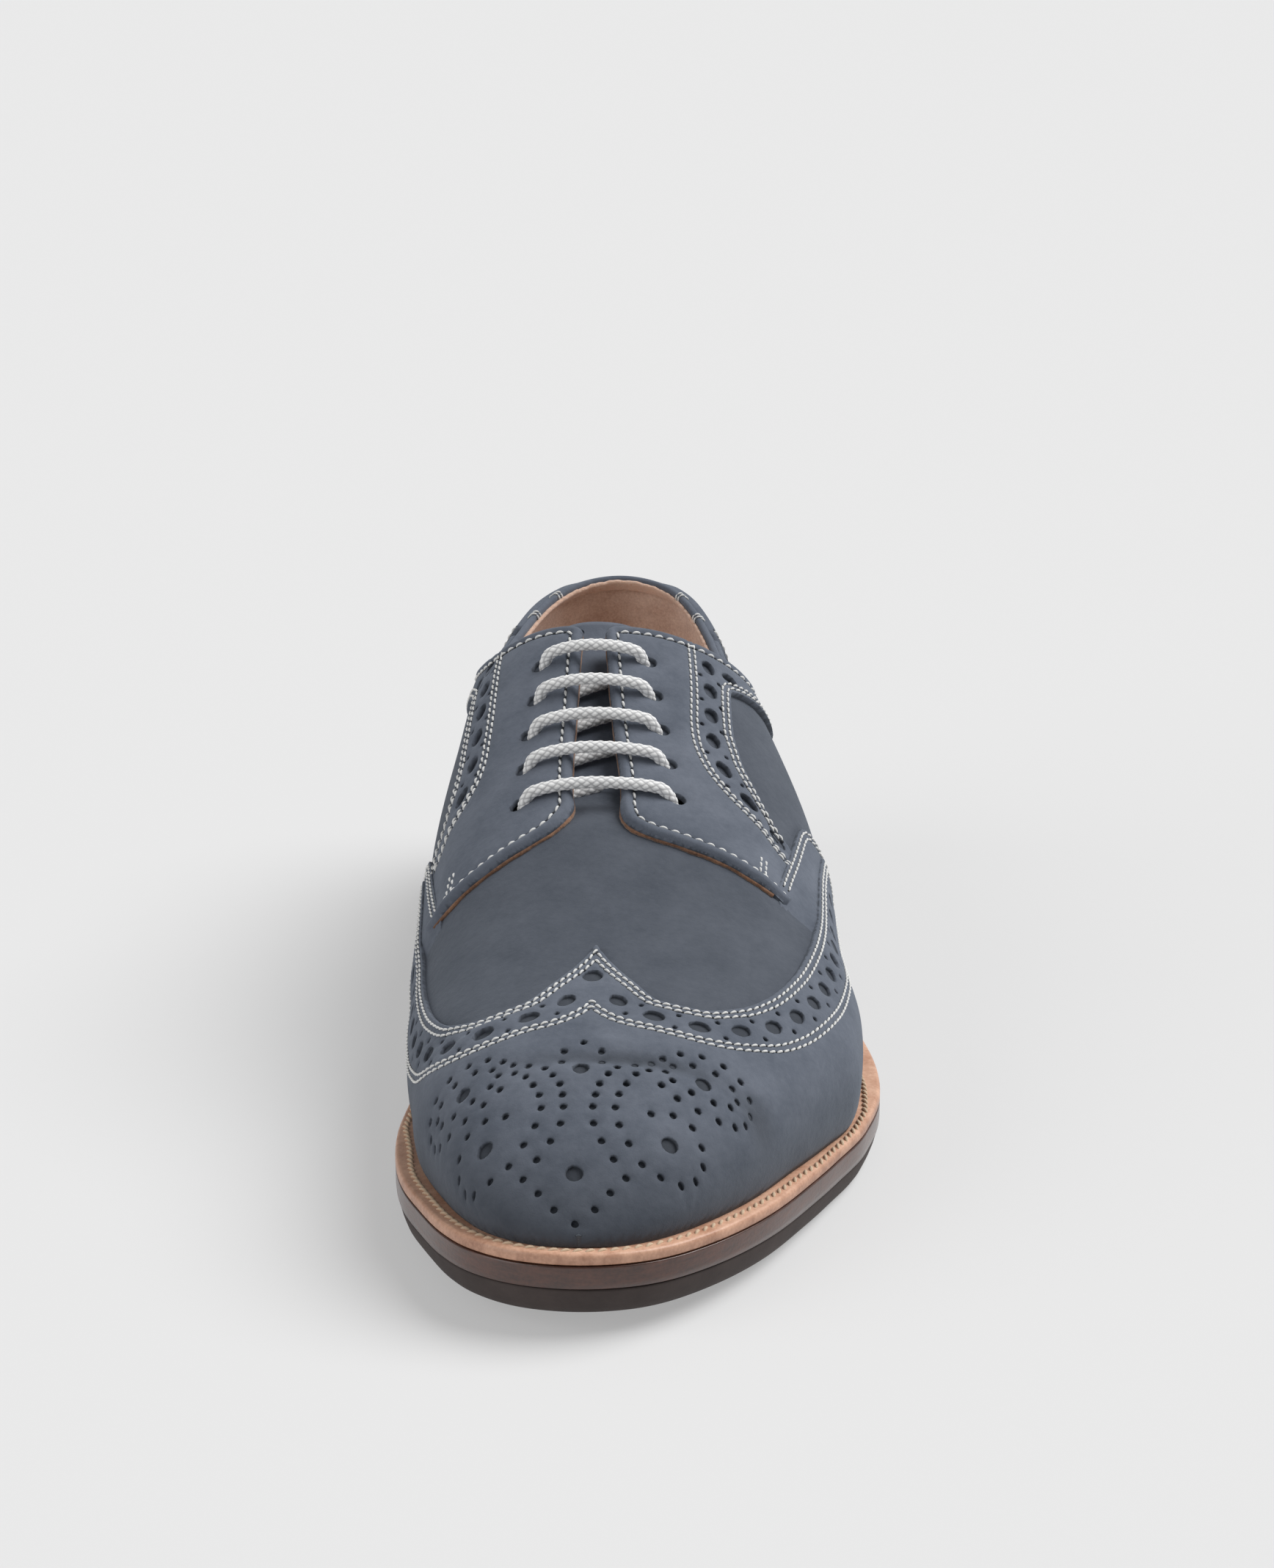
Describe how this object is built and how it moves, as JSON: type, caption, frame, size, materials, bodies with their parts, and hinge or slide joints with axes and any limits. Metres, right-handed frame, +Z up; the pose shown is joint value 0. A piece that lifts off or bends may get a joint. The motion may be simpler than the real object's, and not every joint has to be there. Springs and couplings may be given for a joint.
{
  "type": "full brogue derby shoe",
  "caption": "Full brogue derby shoe for the left foot: hollow nubuck upper with wing cap, counter and open lacing over a tongue, on a welted leather and rubber sole with a heel block.",
  "frame": {"origin": "on the floor, under the middle of the shoe's box", "axes": "+Z up, the toe points to -Y, the heel to +Y, and +X is the outer side of the foot"},
  "size_m": [0.1113, 0.31, 0.1008],
  "materials": {
    "nubuck": "slate blue-grey nubuck, matt with a fine nap",
    "welt_leather": "tan welt leather, smooth, with a row of light stitches",
    "edge_leather": "brown edge leather, waxed to a low sheen",
    "rubber": "dark brown rubber, matt",
    "lining": "brown suede lining, matt",
    "lace": "round braided cotton cord, light grey"
  },
  "bodies": {
    "root": {"upper": "nubuck", "tongue": "nubuck", "wing_cap": "nubuck", "counter": "nubuck", "facing_medial": "nubuck", "facing_lateral": "nubuck", "welt": "welt_leather", "midsole": "edge_leather", "outsole": "rubber", "heel": "rubber", "insole": "lining", "lace_bar_1": "lace", "lace_bar_2": "lace", "lace_bar_3": "lace", "lace_bar_4": "lace", "lace_bar_5": "lace"}
  },
  "joints": []
}
